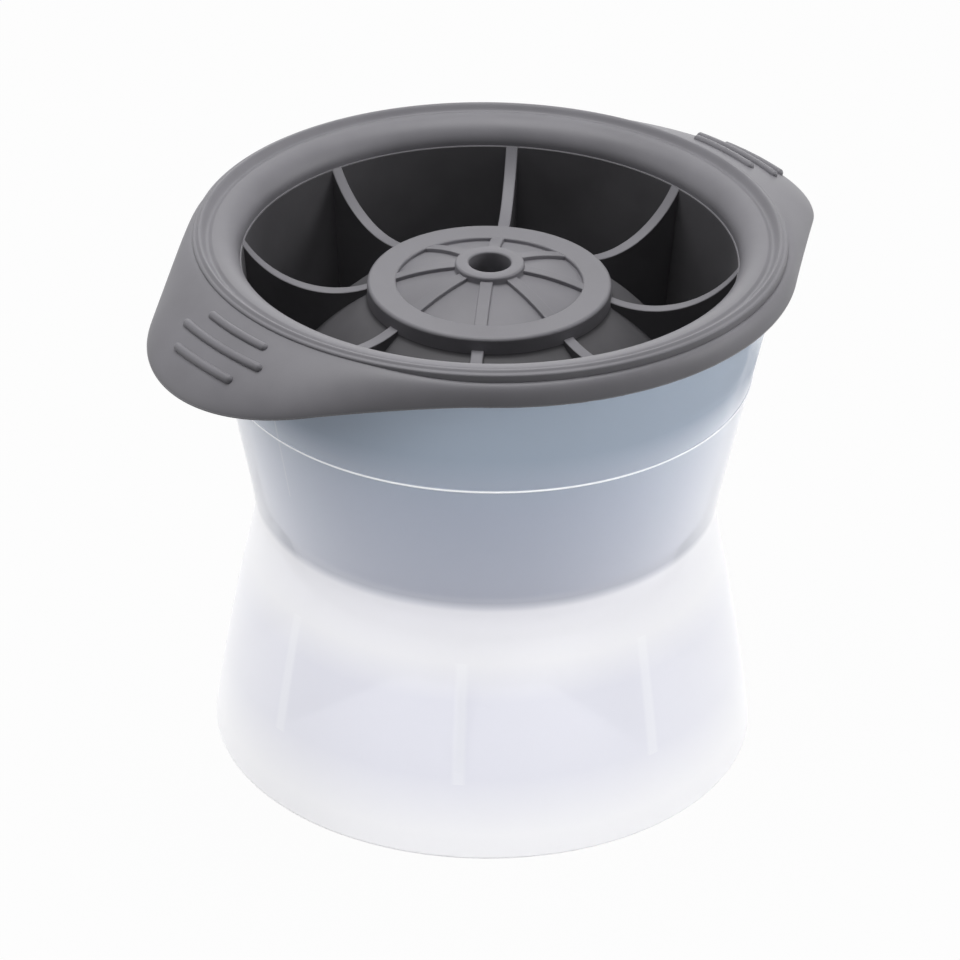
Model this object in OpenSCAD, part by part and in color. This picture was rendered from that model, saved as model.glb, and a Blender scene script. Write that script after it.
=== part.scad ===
// Ice ball mould in two pieces: a soft silicone lid that plugs into a clear stand with a round bowl.
// Millimetres. Z is up, the stand rests on z = 0, and the two pull tabs of the lid lie along X.

/* [Ball] */
// Diameter of the ice ball
ball_d = 63.5; // [55:0.5:72]
// Height of the ball's lowest point above the table
ball_lift = 11.6; // [9:0.2:15]
// How far the lid and the stand part below the ball's middle
parting_drop = 2.8; // [1.5:0.1:4.5]

/* [Stand] */
// Material round the ball at the waist
waist_wall = 3.4; // [3.2:0.1:4.5]
// Distance of the waist below the parting plane
waist_drop = 2.6; // [1:0.2:5]
// How gently the two flares meet at the waist
waist_ease = 0.5; // [0.2:0.1:1.5]
// Outward slope of the cup, in degrees
cup_flare = 11.4; // [8:0.2:15]
// Height of the cup's rim above the parting plane
cup_h = 38.5; // [34:0.5:44]
// Wall of the cup
cup_wall = 1.4; // [1:0.1:2]
// Outward slope of the skirt, in degrees
skirt_flare = 10.5; // [6:0.1:14]
// Outward bulge of the skirt at half its height
skirt_bulge = 0.5; // [0:0.1:1.2]
// Wall of the skirt
skirt_wall = 1.6; // [1.2:0.1:2.4]
// Wall of the bowl
bowl_wall = 1.8; // [1.4:0.1:2.6]
// Width of the chamfers on the foot and the rim
stand_edge = 0.4; // [0.2:0.1:0.6]
// Height of the fill line above the parting plane
fill_h = 21.8; // [16:0.2:28]
// Half width of the bead that marks the fill line
fill_bead = 0.28; // [0.15:0.01:0.4]

/* [Webs under the bowl] */
// Number of webs
web_n = 8; // [4:1:12]
// Thickness of a web
web_t = 1.5; // [1:0.1:2.2]
// Height of the lower edge of the webs
web_z = 13; // [6:0.5:18]
// Height of the root where the skirt leaves the bowl
root_z = 32; // [28:0.5:34]

/* [Lid plug] */
// Gap between the plug and the cup
fit_gap = 0.3; // [0.2:0.05:0.6]
// Wall of the dome over the ball
dome_wall = 2.7; // [1.8:0.05:3.2]
// Depth of the pockets below the lip
pocket_h = 25.7; // [18:0.5:28]
// Inward slope of the pocket wall, in degrees
pocket_draft = 5.3; // [3:0.1:7]

/* [Lid ring] */
// Width of the ring from its lip to its outer wall
ring_w = 7.25; // [6:0.05:9]
// How far the ring's wall stands outside the cup
ring_over = 1.05; // [0.6:0.05:2]
// Height of the ring's bead above the cup's rim
ring_h = 5.15; // [4.5:0.05:6.5]
// Height of the lip above the cup's rim
lip_h = 0.6; // [0.3:0.05:1.2]
// Width of the ledge on the lip
lip_w = 0.25; // [0.15:0.05:0.5]
// Distance of the crown's crest from the lip
crest_w = 4.2; // [3:0.1:4.4]
// Depth of the crown's crest below the bead
crown_drop = 0.8; // [0.6:0.05:0.9]
// Distance of the valley inside the bead from the ring's outer wall
valley_in = 2.3; // [2:0.1:2.6]
// Depth of the valley below the bead
valley_drop = 1.0; // [0.9:0.05:1.3]
// Distance of the bead's top from the ring's outer wall
bead_in = 1.0; // [0.8:0.05:1.4]
// Depth of the ledge outside the bead, below the bead
ledge_drop = 0.35; // [0.2:0.05:0.6]
// Rounding of the outer edge of the ledge, whose flat is half as wide
edge_r = 0.3; // [0.2:0.05:0.5]

/* [Pull tabs] */
// How far the flange stands outside the ring's wall
flange_over = 1.6; // [1:0.1:3]
// Height of the flange's lower edge above the cup's rim
flange_lift = 0.45; // [0.2:0.05:0.6]
// Height of the ring's ledge above the flange
ring_step = 1.2; // [0.9:0.05:2]
// Height of the ring's ledge above the root of a tab
tab_step = 0.45; // [0.3:0.05:0.8]
// Reach of a tab beyond the flange
tab_reach = 11.7; // [8:0.1:16]
// Radius of a tab's rounded tip
tip_r = 23.3; // [16:0.1:28]
// Droop of a tab at its tip
tab_droop = 4.2; // [1:0.1:5]
// Width of a grip bar
bar_w = 1.15; // [0.8:0.05:1.6]
// Height of a grip bar
bar_h = 0.55; // [0.3:0.05:0.9]
// Distance of the inner grip bar from the ring's wall
bar_in = 2.95; // [2:0.05:4]
// Distance between grip bars
bar_pitch = 3.1; // [2.4:0.05:4]
// Half length of the inner and outer grip bars
bar_half = 6.6; // [5:0.1:8]
// Half length of the middle grip bar
bar_half_mid = 9.0; // [7:0.1:10]

/* [Hub and ribs] */
// Number of ribs, and of spokes in the hub
rib_n = 8; // [4:1:12]
// Thickness of a rib
rib_t = 1.85; // [1.2:0.05:2.4]
// Depth of the hollow curve in a rib's top edge
rib_sag = 3.55; // [2:0.05:5]
// Depth of a rib's inner end below the top of the hub
rib_step = 2.0; // [1:0.1:2.6]
// Outer radius of the hub ring
hub_r = 18.2; // [15:0.1:21]
// Width of the hub ring
hub_w = 4.3; // [3:0.1:6]
// Height of the hub ring over the dome at its outer wall
hub_h = 2.95; // [2.4:0.05:4]
// Width of a spoke
spoke_w = 1.9; // [1.2:0.05:2.6]
// Height of a spoke over the dome
spoke_h = 0.6; // [0.3:0.05:0.9]
// Radius of the boss round the vent
boss_r = 5.2; // [4.6:0.1:7]
// Height of the boss over the dome's top
boss_h = 0.9; // [0.8:0.1:2]
// Diameter of the vent hole
vent_d = 6.3; // [4:0.1:8]

/* [Hidden] */
$fn = 96;

// How far a piece reaches into the one that carries it, so that the two become one solid
bite = 0.6;
// Room past a surface for a cut
past = 1;
// Steps along the stand's outline, round the flange, across the flange and round a grip bar
outline_steps = 24;
flange_steps = 144;
across_steps = 8;
arc_steps = 8;
bar_steps = 14;
// Share of a grip bar's steps before its rounded ends, and how far the rounding runs before the end cap
bar_body = 0.8;
bar_round = 0.96;

ball_r = ball_d / 2;
ball_z = ball_lift + ball_r;
parting_z = ball_z - parting_drop;
waist_z = parting_z - waist_drop;
waist_r = ball_r + waist_wall;
rim_z = parting_z + cup_h;
fill_z = parting_z + fill_h;
dome_r = ball_r + dome_wall;
lip_z = rim_z + lip_h;
floor_z = lip_z - pocket_h;
bead_z = rim_z + ring_h;
ledge_z = bead_z - ledge_drop;
ring_r = stand_r(rim_z) + ring_over;
lip_r = ring_r - ring_w;
flange_r = ring_r + flange_over;
flange_z = rim_z + flange_lift;
hub_z = dome_z(hub_r) + hub_h;
boss_z = ball_z + dome_r + boss_h;

// Outer radius of the stand at height z: two flares that meet in a soft waist, the lower one bulging
function stand_r(z) =
    let (slope = tan(z > waist_z ? cup_flare : skirt_flare),
         bulge = z > waist_z ? 0 : skirt_bulge * sin(180 * z / waist_z))
    waist_r + sqrt(pow(slope * (z - waist_z), 2) + pow(waist_ease, 2)) - waist_ease + bulge;

// Height of the dome's outside at radius r
function dome_z(r) = ball_z + sqrt(pow(dome_r, 2) - pow(r, 2));

// Radius of the pocket wall at height z
function pocket_r(z) = lip_r - tan(pocket_draft) * (lip_z - z);

// The stand's outline between two heights, moved in by d
function outline(z0, z1, d) =
    [for (i = [0 : outline_steps]) let (z = z0 + (z1 - z0) * i / outline_steps) [stand_r(z) - d, z]];

// Points of an elliptical arc about c, with half axes a and b, from angle t0 to t1
function arc(c, a, b, t0, t1) =
    [for (i = [0 : arc_steps]) let (t = t0 + (t1 - t0) * i / arc_steps) c + [a * cos(t), b * sin(t)]];

// Points of a soft S curve that leaves p and ends short of q
function ease(p, q) =
    [for (i = [0 : arc_steps - 1]) let (s = i / arc_steps)
        p + [(q - p)[0] * s, (q - p)[1] * (1 - cos(180 * s)) / 2]];

// A closed skin over rings of points; a loop joins the last ring to the first, and else the ends are capped
module skin(rings, loop) {
    n = len(rings);
    m = len(rings[0]);
    last = loop ? n - 1 : n - 2;
    sides = [for (i = [0 : last], j = [0 : m - 1])
        let (a = i * m, b = ((i + 1) % n) * m, k = (j + 1) % m)
        each [[a + j, b + k, a + k], [a + j, b + j, b + k]]];
    caps = loop ? [] : [[for (j = [0 : m - 1]) j], [for (j = [m - 1 : -1 : 0]) (n - 1) * m + j]];
    polyhedron(points = [for (ring = rings, p = ring) p], faces = concat(sides, caps), convexity = 6);
}

// Stand: a cup that takes the plug, a bowl for the lower part of the ball, and a skirt to stand on

// Section of the hollow under the bowl, reaching out into the skirt by grow
module hollow_section(z0, grow) {
    polygon(concat([[0, root_z + grow], [0, z0]], outline(z0, root_z + grow, skirt_wall - grow)));
}

module stand_section() {
    difference() {
        polygon(concat(
            [[0, rim_z], [0, 0], [stand_r(0) - stand_edge, 0]],
            outline(stand_edge, rim_z - stand_edge, 0),
            [[stand_r(rim_z) - stand_edge, rim_z]]));
        polygon(concat([[0, rim_z + past], [0, parting_z]], outline(parting_z, rim_z + past, cup_wall)));
        difference() {
            hollow_section(-past, 0);
            bowl_disc(bowl_wall);
        }
        bowl_disc(0);
    }
}

// Disc round the ball's middle, larger than the ball by grow
module bowl_disc(grow) {
    translate([0, ball_z]) circle(r = ball_r + grow);
}

module fill_line() {
    r = stand_r(fill_z);
    rotate_extrude()
        polygon([[r - bite, fill_z - fill_bead], [r, fill_z - fill_bead], [r + fill_bead, fill_z],
                 [r, fill_z + fill_bead], [r - bite, fill_z + fill_bead]]);
}

module web() {
    rotate([90, 0, 0]) linear_extrude(web_t, center = true) difference() {
        hollow_section(web_z, bite);
        bowl_disc(bowl_wall - bite);
    }
}

module clear_stand() {
    color([0.9, 0.92, 0.96, 0.6]) union() {
        rotate_extrude() intersection() {
            stand_section();
            square([2 * waist_r, 2 * rim_z]);
        }
        fill_line();
        for (i = [0 : web_n - 1]) rotate(i * 360 / web_n) web();
    }
}

// Lid: a plug whose hollow closes the ball, held by a ring on the cup's rim

// Section of the ring and the plug wall: up the plug, over the ledge, the bead and the crown, into the pocket
module plug_section() {
    bead = [ring_r - bead_in, bead_z];
    valley = [ring_r - valley_in, bead_z - valley_drop];
    crest = [lip_r + crest_w, bead_z - crown_drop];
    lip = [lip_r + lip_w, lip_z + lip_w];
    polygon(concat(
        [[0, parting_z]],
        outline(parting_z, rim_z, cup_wall + fit_gap),
        [[ring_r, rim_z]],
        arc([ring_r - edge_r, ledge_z - edge_r], edge_r, edge_r, 0, 90),
        ease([ring_r - 1.5 * edge_r, ledge_z], bead),
        ease(bead, valley),
        ease(valley, crest),
        arc([crest[0], lip[1]], crest[0] - lip[0], crest[1] - lip[1], 90, 180),
        [[lip[0], lip_z], [lip_r, lip_z], [pocket_r(floor_z), floor_z], [0, floor_z]]));
}

module lid_section() {
    difference() {
        union() {
            plug_section();
            intersection() {
                bowl_disc(dome_wall);
                translate([0, floor_z]) square(2 * dome_r);
            }
            translate([hub_r - hub_w, ball_z]) square([hub_w, hub_z - ball_z]);
            translate([0, ball_z]) square([boss_r, boss_z - ball_z]);
        }
        bowl_disc(0);
        translate([-2 * dome_r, parting_z - 2 * dome_r]) square([4 * dome_r, 2 * dome_r]);
    }
}

// Rib from the hub out to the pocket wall, with a hollow curve for its top edge
module rib() {
    inner = [hub_r, hub_z - rib_step];
    outer = [lip_r, lip_z];
    half = norm(outer - inner) / 2;
    sweep_r = (pow(half, 2) + pow(rib_sag, 2)) / (2 * rib_sag);
    along = (outer - inner) / (2 * half);
    centre = (inner + outer) / 2 + (sweep_r - rib_sag) * [-along[1], along[0]];
    low = floor_z - bite;
    rotate([90, 0, 0]) linear_extrude(rib_t, center = true) difference() {
        polygon([[hub_r - bite, low], [pocket_r(low) + bite, low], [lip_r + bite, lip_z],
                 [hub_r - bite, lip_z]]);
        bowl_disc(dome_wall - bite);
        translate(centre) circle(r = sweep_r);
    }
}

// Spoke over the dome from the boss to the hub ring
module spoke() {
    intersection() {
        translate([boss_r - bite, -spoke_w / 2, ball_z])
            cube([hub_r - hub_w - boss_r + 2 * bite, spoke_w, 2 * dome_r]);
        translate([0, 0, ball_z]) difference() {
            sphere(dome_r + spoke_h);
            sphere(dome_r - bite);
        }
    }
}

// Flange and tabs
tip_x = flange_r + tab_reach - tip_r;
flank_a = acos((flange_r - tip_r) / tip_x);
tip_a = atan2(tip_r * sin(flank_a), tip_x + tip_r * cos(flank_a));
// Angle to the tab's middle within which its root stays high, and beyond which it has come down to the flange
root_a = [24, 50];
// Shape of the droop along a tab, and of the fall across a tab, across the flange between the tabs, and at the edge
droop_power = 1.45;
tab_power = 1.5;
flange_power = 2.4;
edge_power = 0.6;

// Angle from a to the nearest tab's middle
function off_tab(a) = abs((a + 90) % 180 - 90);

// Radius of the flange's edge at angle a: a disc drawn out to a round tip on either side
function rim_edge(a) =
    let (p = off_tab(a))
    p >= flank_a ? flange_r
    : p > tip_a ? flange_r / cos(flank_a - p)
    : tip_x * cos(p) + sqrt(pow(tip_r, 2) - pow(tip_x * sin(p), 2));

// Droop of the flange at a distance x along the tabs
function droop(x) =
    let (start = flange_r * cos(flank_a), t = (abs(x) - start) / (tip_x + tip_r - start))
    t <= 0 ? 0 : tab_droop * pow(t, droop_power);

// Share of the way from a tab to the flange between the tabs, at angle a
function past_tab(a) =
    let (t = min(1, max(0, (off_tab(a) - root_a[0]) / (root_a[1] - root_a[0])))) t * t * (3 - 2 * t);

// Height of the flange's top at a share u of the way from the ring's wall to the edge
function flange_top(a, u) =
    let (r = ring_r + (rim_edge(a) - ring_r) * u,
         root = ledge_z - tab_step - (ring_step - tab_step) * past_tab(a),
         rise = root - flange_z + droop(ring_r * cos(a)),
         power = tab_power + (flange_power - tab_power) * past_tab(a))
    flange_z - droop(r * cos(a)) + rise * pow(max(0, 1 - pow(u, power)), edge_power);

// Ring of points through the flange at angle a
function flange_ring(a) =
    let (e = rim_edge(a), inside = ring_r - bite)
    [for (p = concat(
        [[inside, flange_z], [inside, flange_top(a, 0)]],
        [for (i = [1 : across_steps])
            let (u = 1 - pow(1 - i / across_steps, 2)) [ring_r + (e - ring_r) * u, flange_top(a, u)]]))
        [p[0] * cos(a), p[0] * sin(a), p[1]]];

module flange() {
    skin([for (i = [0 : flange_steps - 1]) flange_ring(i * 360 / flange_steps)], true);
}

// Grip bar: a low rounded bar bent round the lid's axis at radius r, with rounded ends
module grip_bar(r, half) {
    u = (r - ring_r) / (rim_edge(0) - ring_r);
    top = flange_top(0, u);
    span = asin((half - bar_w / 2) / r);
    tip = asin(bar_w / 2 / r);
    rings = [for (i = [0 : bar_steps])
        let (s = 2 * i / bar_steps - 1, t = max(0, (abs(s) - bar_body) / (1 - bar_body)),
             swell = sqrt(1 - pow(bar_round * t, 2)),
             a = sign(s) * (t > 0 ? span + tip * t : span * abs(s) / bar_body))
        [for (p = bar_ring(swell)) [(r + p[0]) * cos(a), (r + p[0]) * sin(a), top + p[1]]]];
    skin(rings, false);
}

// Section of a grip bar, narrowed and lowered by swell towards its ends
function bar_ring(swell) = concat(
    [[-bar_w / 2 * swell, -bite]],
    [for (i = [0 : arc_steps]) let (t = 180 - 180 * i / arc_steps)
        [bar_w / 2 * swell * cos(t), bar_h * swell * sin(t)]],
    [[bar_w / 2 * swell, -bite]]);

module tab_bars() {
    for (i = [0 : 2])
        grip_bar(ring_r + bar_in + i * bar_pitch, i == 1 ? bar_half_mid : bar_half);
}

module silicone_lid() {
    color([0.55, 0.545, 0.565]) difference() {
        union() {
            rotate_extrude() intersection() {
                lid_section();
                square([2 * ring_r, 2 * bead_z]);
            }
            for (i = [0 : rib_n - 1]) rotate(i * 360 / rib_n) {
                rib();
                spoke();
            }
            flange();
            for (i = [0, 1]) rotate(i * 180) tab_bars();
        }
        translate([0, 0, ball_z]) cylinder(d = vent_d, h = boss_z - ball_z + past);
    }
}

silicone_lid();
clear_stand();
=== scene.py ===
"""Looks of the ice ball mould: a milky clear stand that is closed by a grey silicone lid.

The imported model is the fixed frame. Sizes are in metres, +Z is up, and the two pull tabs lie along X.
"""

import logging
import math
from dataclasses import dataclass, field
from enum import Enum
from typing import Callable

import bmesh
import bpy
from mathutils import Matrix, Vector


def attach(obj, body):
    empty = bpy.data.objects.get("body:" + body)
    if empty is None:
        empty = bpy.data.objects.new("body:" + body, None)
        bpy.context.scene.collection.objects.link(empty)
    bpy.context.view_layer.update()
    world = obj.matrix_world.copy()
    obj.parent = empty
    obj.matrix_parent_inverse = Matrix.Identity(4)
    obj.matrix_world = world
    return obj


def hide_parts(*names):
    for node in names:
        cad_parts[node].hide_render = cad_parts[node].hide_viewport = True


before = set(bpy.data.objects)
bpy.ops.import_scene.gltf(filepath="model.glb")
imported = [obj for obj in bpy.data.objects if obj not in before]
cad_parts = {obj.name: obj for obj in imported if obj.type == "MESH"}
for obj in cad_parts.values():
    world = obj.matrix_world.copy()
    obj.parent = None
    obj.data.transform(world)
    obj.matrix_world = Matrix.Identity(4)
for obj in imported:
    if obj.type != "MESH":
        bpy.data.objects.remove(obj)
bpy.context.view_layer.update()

LOG = logging.getLogger("ice_ball_mould")

MM = 0.001
MERGE = 1e-7
NEAR = 1e-5

Point = tuple[float, float]
Span = tuple[float, float]
Colour = tuple[float, float, float]


class Slot(Enum):
    """Material slots of the record."""

    SILICONE = "silicone"
    CLEAR = "clear_plastic"


class Zone(Enum):
    """Finishes of the lid's shell and ribs, by their place among the piece's materials."""

    SATIN = 0
    # Darker silicone in the pockets: painted shade.
    POCKET_PAINTED_SHADE = 1
    PLUG = 2


class Body(Enum):
    """Bodies of the record that a piece can ride on."""

    LID = "lid"
    STAND = "stand"


def piece_from(bm: bmesh.types.BMesh, name: str, sharp_deg: float = 38.0) -> bpy.types.Object:
    """Turns a finished bmesh into a smooth-shaded object at the origin.

    Args:
        bm: The mesh under construction. It is freed here.
        name: Name of the piece.
        sharp_deg: Edges that turn more than this stay sharp.

    Returns:
        The new object, linked to the scene.
    """
    mesh = bpy.data.meshes.new(name)
    bm.to_mesh(mesh)
    bm.free()
    mesh.shade_smooth()
    mesh.set_sharp_from_angle(angle=math.radians(sharp_deg))
    obj = bpy.data.objects.new(name, mesh)
    bpy.context.scene.collection.objects.link(obj)
    weighted = obj.modifiers.new("even_shading", "WEIGHTED_NORMAL")
    weighted.keep_sharp = True
    return obj


def repeat_round(bm: bmesh.types.BMesh, count: int) -> None:
    """Repeats all of a bmesh round the Z axis.

    Args:
        bm: The mesh, holding one copy.
        count: How many copies there are in the end.
    """
    first = bm.verts[:] + bm.edges[:] + bm.faces[:]
    for step in range(1, count):
        copy = bmesh.ops.duplicate(bm, geom=first)["geom"]
        verts = [g for g in copy if isinstance(g, bmesh.types.BMVert)]
        turn = Matrix.Rotation(2 * math.pi * step / count, 3, "Z")
        bmesh.ops.rotate(bm, verts=verts, cent=(0, 0, 0), matrix=turn)


def round_off(bm: bmesh.types.BMesh, geom: list, offset: float, segments: int,
              affect: str = "EDGES") -> list[bmesh.types.BMFace]:
    """Rounds edges or corners off.

    Args:
        bm: The mesh.
        geom: The edges or corners.
        offset: Distance from them at which the rounding starts.
        segments: Segments in the rounding.
        affect: EDGES, or VERTICES for corners.

    Returns:
        The faces of the rounding.
    """
    return bmesh.ops.bevel(bm, geom=geom, offset=offset, offset_type="OFFSET", segments=segments,
                           profile=0.5, affect=affect, material=-1, clamp_overlap=True)["faces"]


@dataclass
class Section:
    """A section in the plane of radius and height, drawn corner by corner."""

    corners: list[tuple[float, float, float]] = field(default_factory=list)

    def to(self, r: float, z: float, rounding: float = 0.0) -> "Section":
        """Adds a corner with a rounding, and returns the section."""
        self.corners.append((r, z, rounding))
        return self

    def along(self, curve: Callable[[float], Point], start: float, end: float, steps: int) -> "Section":
        """Adds the points of a curve.

        Args:
            curve: Gives radius and height at a parameter.
            start: First value of the parameter.
            end: Last value of the parameter.
            steps: Number of steps between them.

        Returns:
            The section.
        """
        for i in range(steps + 1):
            self.to(*curve(start + (end - start) * i / steps))
        return self

    def ease(self, start: Point, end: Point, steps: int) -> "Section":
        """Adds a soft S curve that leaves one point and stops short of the other.

        Args:
            start: Radius and height where the curve leaves.
            end: Radius and height that it runs to.
            steps: Number of steps.

        Returns:
            The section.
        """
        for i in range(steps):
            s = i / steps
            rise = (1 - math.cos(math.pi * s)) / 2
            self.to(start[0] + (end[0] - start[0]) * s, start[1] + (end[1] - start[1]) * rise)
        return self

    def face(self, segments: int = 5) -> bmesh.types.BMesh:
        """Makes the section a face in the XZ plane and rounds its corners.

        Args:
            segments: Segments in each rounding.

        Returns:
            A new bmesh that holds the face.
        """
        bm = bmesh.new()
        verts = [bm.verts.new((r, 0, z)) for r, z, _ in self.corners]
        bm.faces.new(verts)
        for rounding in sorted({c[2] for c in self.corners if c[2] > 0}):
            chosen = [v for v, c in zip(verts, self.corners) if c[2] == rounding]
            round_off(bm, chosen, rounding, segments, "VERTICES")
        return bm

    def turned(self, steps: int, merge: float = MERGE) -> bmesh.types.BMesh:
        """Turns the section's outline about Z into a closed mesh.

        Args:
            steps: Steps of the full turn.
            merge: Corners that are closer than this become one.

        Returns:
            A new bmesh that holds the mesh.
        """
        bm = self.face()
        bmesh.ops.delete(bm, geom=bm.faces[:], context="FACES_ONLY")
        on_axis = [e for e in bm.edges if all(abs(v.co.x) < MERGE for v in e.verts)]
        bmesh.ops.delete(bm, geom=on_axis, context="EDGES")
        bmesh.ops.spin(bm, geom=bm.verts[:] + bm.edges[:], cent=(0, 0, 0), axis=(0, 0, 1), dvec=(0, 0, 0),
                       angle=2 * math.pi, steps=steps, use_merge=True)
        bmesh.ops.remove_doubles(bm, verts=bm.verts[:], dist=merge)
        return bm

    def spun(self, name: str, steps: int) -> bpy.types.Object:
        """Turns the section's outline about Z into a closed piece.

        Args:
            name: Name of the piece.
            steps: Steps of the full turn.

        Returns:
            The new object.
        """
        bm = self.turned(steps)
        bmesh.ops.recalc_face_normals(bm, faces=bm.faces[:])
        return piece_from(bm, name)

    def plate(self, thickness: float) -> bmesh.types.BMesh:
        """Makes the section a plate that stands on the XZ plane.

        Args:
            thickness: Thickness of the plate along Y, half of it on either side.

        Returns:
            A new bmesh that holds the closed plate.
        """
        bm = self.face()
        out = bmesh.ops.extrude_face_region(bm, geom=bm.faces[:])["geom"]
        moved = [g for g in out if isinstance(g, bmesh.types.BMVert)]
        bmesh.ops.translate(bm, verts=moved, vec=(0, thickness, 0))
        bmesh.ops.translate(bm, verts=bm.verts[:], vec=(0, -thickness / 2, 0))
        bmesh.ops.recalc_face_normals(bm, faces=bm.faces[:])
        return bm


@dataclass(frozen=True)
class MouldForm:
    """Sizes that the stand and the lid share."""

    ball_r: float = 31.75 * MM
    ball_z: float = 43.35 * MM
    parting_z: float = 40.55 * MM
    waist_z: float = 37.95 * MM
    waist_r: float = 35.15 * MM
    waist_ease: float = 0.5 * MM
    cup_flare: float = math.radians(11.4)
    skirt_flare: float = math.radians(10.5)
    skirt_bulge: float = 0.5 * MM
    rim_z: float = 79.05 * MM
    cup_wall: float = 1.4 * MM
    fill_z: float = 62.35 * MM
    seat_round: float = 0.4 * MM
    seat_room: float = 1.2 * MM
    rib_n: int = 8
    web_n: int = 8
    spin_steps: int = 192

    def stand_r(self, z: float) -> float:
        """Outer radius of the stand at height z."""
        above = z > self.waist_z
        slope = math.tan(self.cup_flare if above else self.skirt_flare)
        bulge = 0.0 if above else self.skirt_bulge * math.sin(math.pi * z / self.waist_z)
        flare = math.hypot(slope * (z - self.waist_z), self.waist_ease) - self.waist_ease
        return self.waist_r + flare + bulge

    def wall(self, inset: float) -> Callable[[float], Point]:
        """The stand's outline moved in by inset, as a curve over the height."""
        return lambda z: (self.stand_r(z) - inset, z)

    def ball(self, radius: float) -> Callable[[float], Point]:
        """A circle about the ball's middle, as a curve over the angle from the top."""
        return lambda a: (radius * math.sin(a), self.ball_z + radius * math.cos(a))

    def angle_at_r(self, radius: float, r: float) -> float:
        """Angle from the top at which a sphere about the ball's middle has radius r."""
        return math.asin(r / radius)

    def angle_at_z(self, radius: float, z: float) -> float:
        """Angle from the top at which a sphere about the ball's middle has height z."""
        return math.acos((z - self.ball_z) / radius)


@dataclass(frozen=True)
class Grain:
    """Node group shared by both finishes: fine moulded grain and soft mottling."""

    name: str = "moulded_grain"
    inputs: tuple[str, ...] = ("Grain Scale", "Mottle Scale", "Wave Share")
    fine: tuple[float, float] = (4.0, 0.6)
    soft: tuple[float, float] = (3.0, 0.55)

    def group(self) -> bpy.types.NodeTree:
        """Builds the group on first use.

        Returns:
            The node group, with inputs for the scales and outputs Height and Mottle.
        """
        known = bpy.data.node_groups.get(self.name)
        if known:
            return known
        tree = bpy.data.node_groups.new(self.name, "ShaderNodeTree")
        for label in self.inputs:
            tree.interface.new_socket(label, in_out="INPUT", socket_type="NodeSocketFloat")
        for label in ("Height", "Mottle"):
            tree.interface.new_socket(label, in_out="OUTPUT", socket_type="NodeSocketFloat")
        nodes, links = tree.nodes, tree.links
        entry = nodes.new("NodeGroupInput")
        leave = nodes.new("NodeGroupOutput")
        place = nodes.new("ShaderNodeTexCoord")
        both = nodes.new("ShaderNodeMix")
        links.new(entry.outputs["Wave Share"], both.inputs["Factor"])
        mottle = leave.inputs["Mottle"]
        noises = (("Grain Scale", self.fine, (both.inputs[2],)),
                  ("Mottle Scale", self.soft, (both.inputs[3], mottle)))
        for label, (detail, roughness), targets in noises:
            noise = nodes.new("ShaderNodeTexNoise")
            noise.inputs["Detail"].default_value = detail
            noise.inputs["Roughness"].default_value = roughness
            links.new(place.outputs["Object"], noise.inputs["Vector"])
            links.new(entry.outputs[label], noise.inputs["Scale"])
            for target in targets:
                links.new(noise.outputs["Fac"], target)
        links.new(both.outputs[0], leave.inputs["Height"])
        return tree


def ramp(tree: bpy.types.NodeTree, source: bpy.types.NodeSocket,
         stops: tuple[tuple[float, Colour], ...]) -> bpy.types.NodeSocket:
    """Turns a value into a colour.

    Args:
        tree: The material's node tree.
        source: The value.
        stops: Places along the ramp with their colours.

    Returns:
        The colour socket.
    """
    node = tree.nodes.new("ShaderNodeValToRGB")
    band = node.color_ramp
    for i, (place, colour) in enumerate(stops):
        stop = band.elements[i] if i < 2 else band.elements.new(place)
        stop.position = place
        stop.color = (*colour, 1.0)
    tree.links.new(source, node.inputs["Fac"])
    return node.outputs["Color"]


def spread(tree: bpy.types.NodeTree, source: bpy.types.NodeSocket, low: float, high: float,
           start: float, end: float) -> bpy.types.NodeSocket:
    """Maps a value from one range to another.

    Args:
        tree: The material's node tree.
        source: The value.
        low: Result at start.
        high: Result at end.
        start: Value that gives low.
        end: Value that gives high.

    Returns:
        The mapped value's socket.
    """
    node = tree.nodes.new("ShaderNodeMapRange")
    tree.links.new(source, node.inputs["Value"])
    for label, value in (("From Min", start), ("From Max", end), ("To Min", low), ("To Max", high)):
        node.inputs[label].default_value = value
    return node.outputs["Result"]


def calc(tree: bpy.types.NodeTree, operation: str,
         *terms: bpy.types.NodeSocket | float) -> bpy.types.NodeSocket:
    """Adds a Math node.

    Args:
        tree: The node tree that takes the node.
        operation: Blender's name of the operation.
        terms: Sockets or numbers that it works on.

    Returns:
        The result's socket.
    """
    node = tree.nodes.new("ShaderNodeMath")
    node.operation = operation
    for slot, term in zip(node.inputs, terms):
        if isinstance(term, float):
            slot.default_value = term
        else:
            tree.links.new(term, slot)
    return node.outputs[0]


def blend(tree: bpy.types.NodeTree, share: bpy.types.NodeSocket, below: bpy.types.NodeSocket,
          above: Colour) -> bpy.types.NodeSocket:
    """Lays one colour over another.

    Args:
        tree: The material's node tree.
        share: Share of the upper colour.
        below: The lower colour.
        above: The upper colour.

    Returns:
        The mixed colour's socket.
    """
    node = tree.nodes.new("ShaderNodeMix")
    node.data_type = "RGBA"
    tree.links.new(share, node.inputs["Factor"])
    tree.links.new(below, node.inputs[6])
    node.inputs[7].default_value = (*above, 1.0)
    return node.outputs[2]


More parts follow.
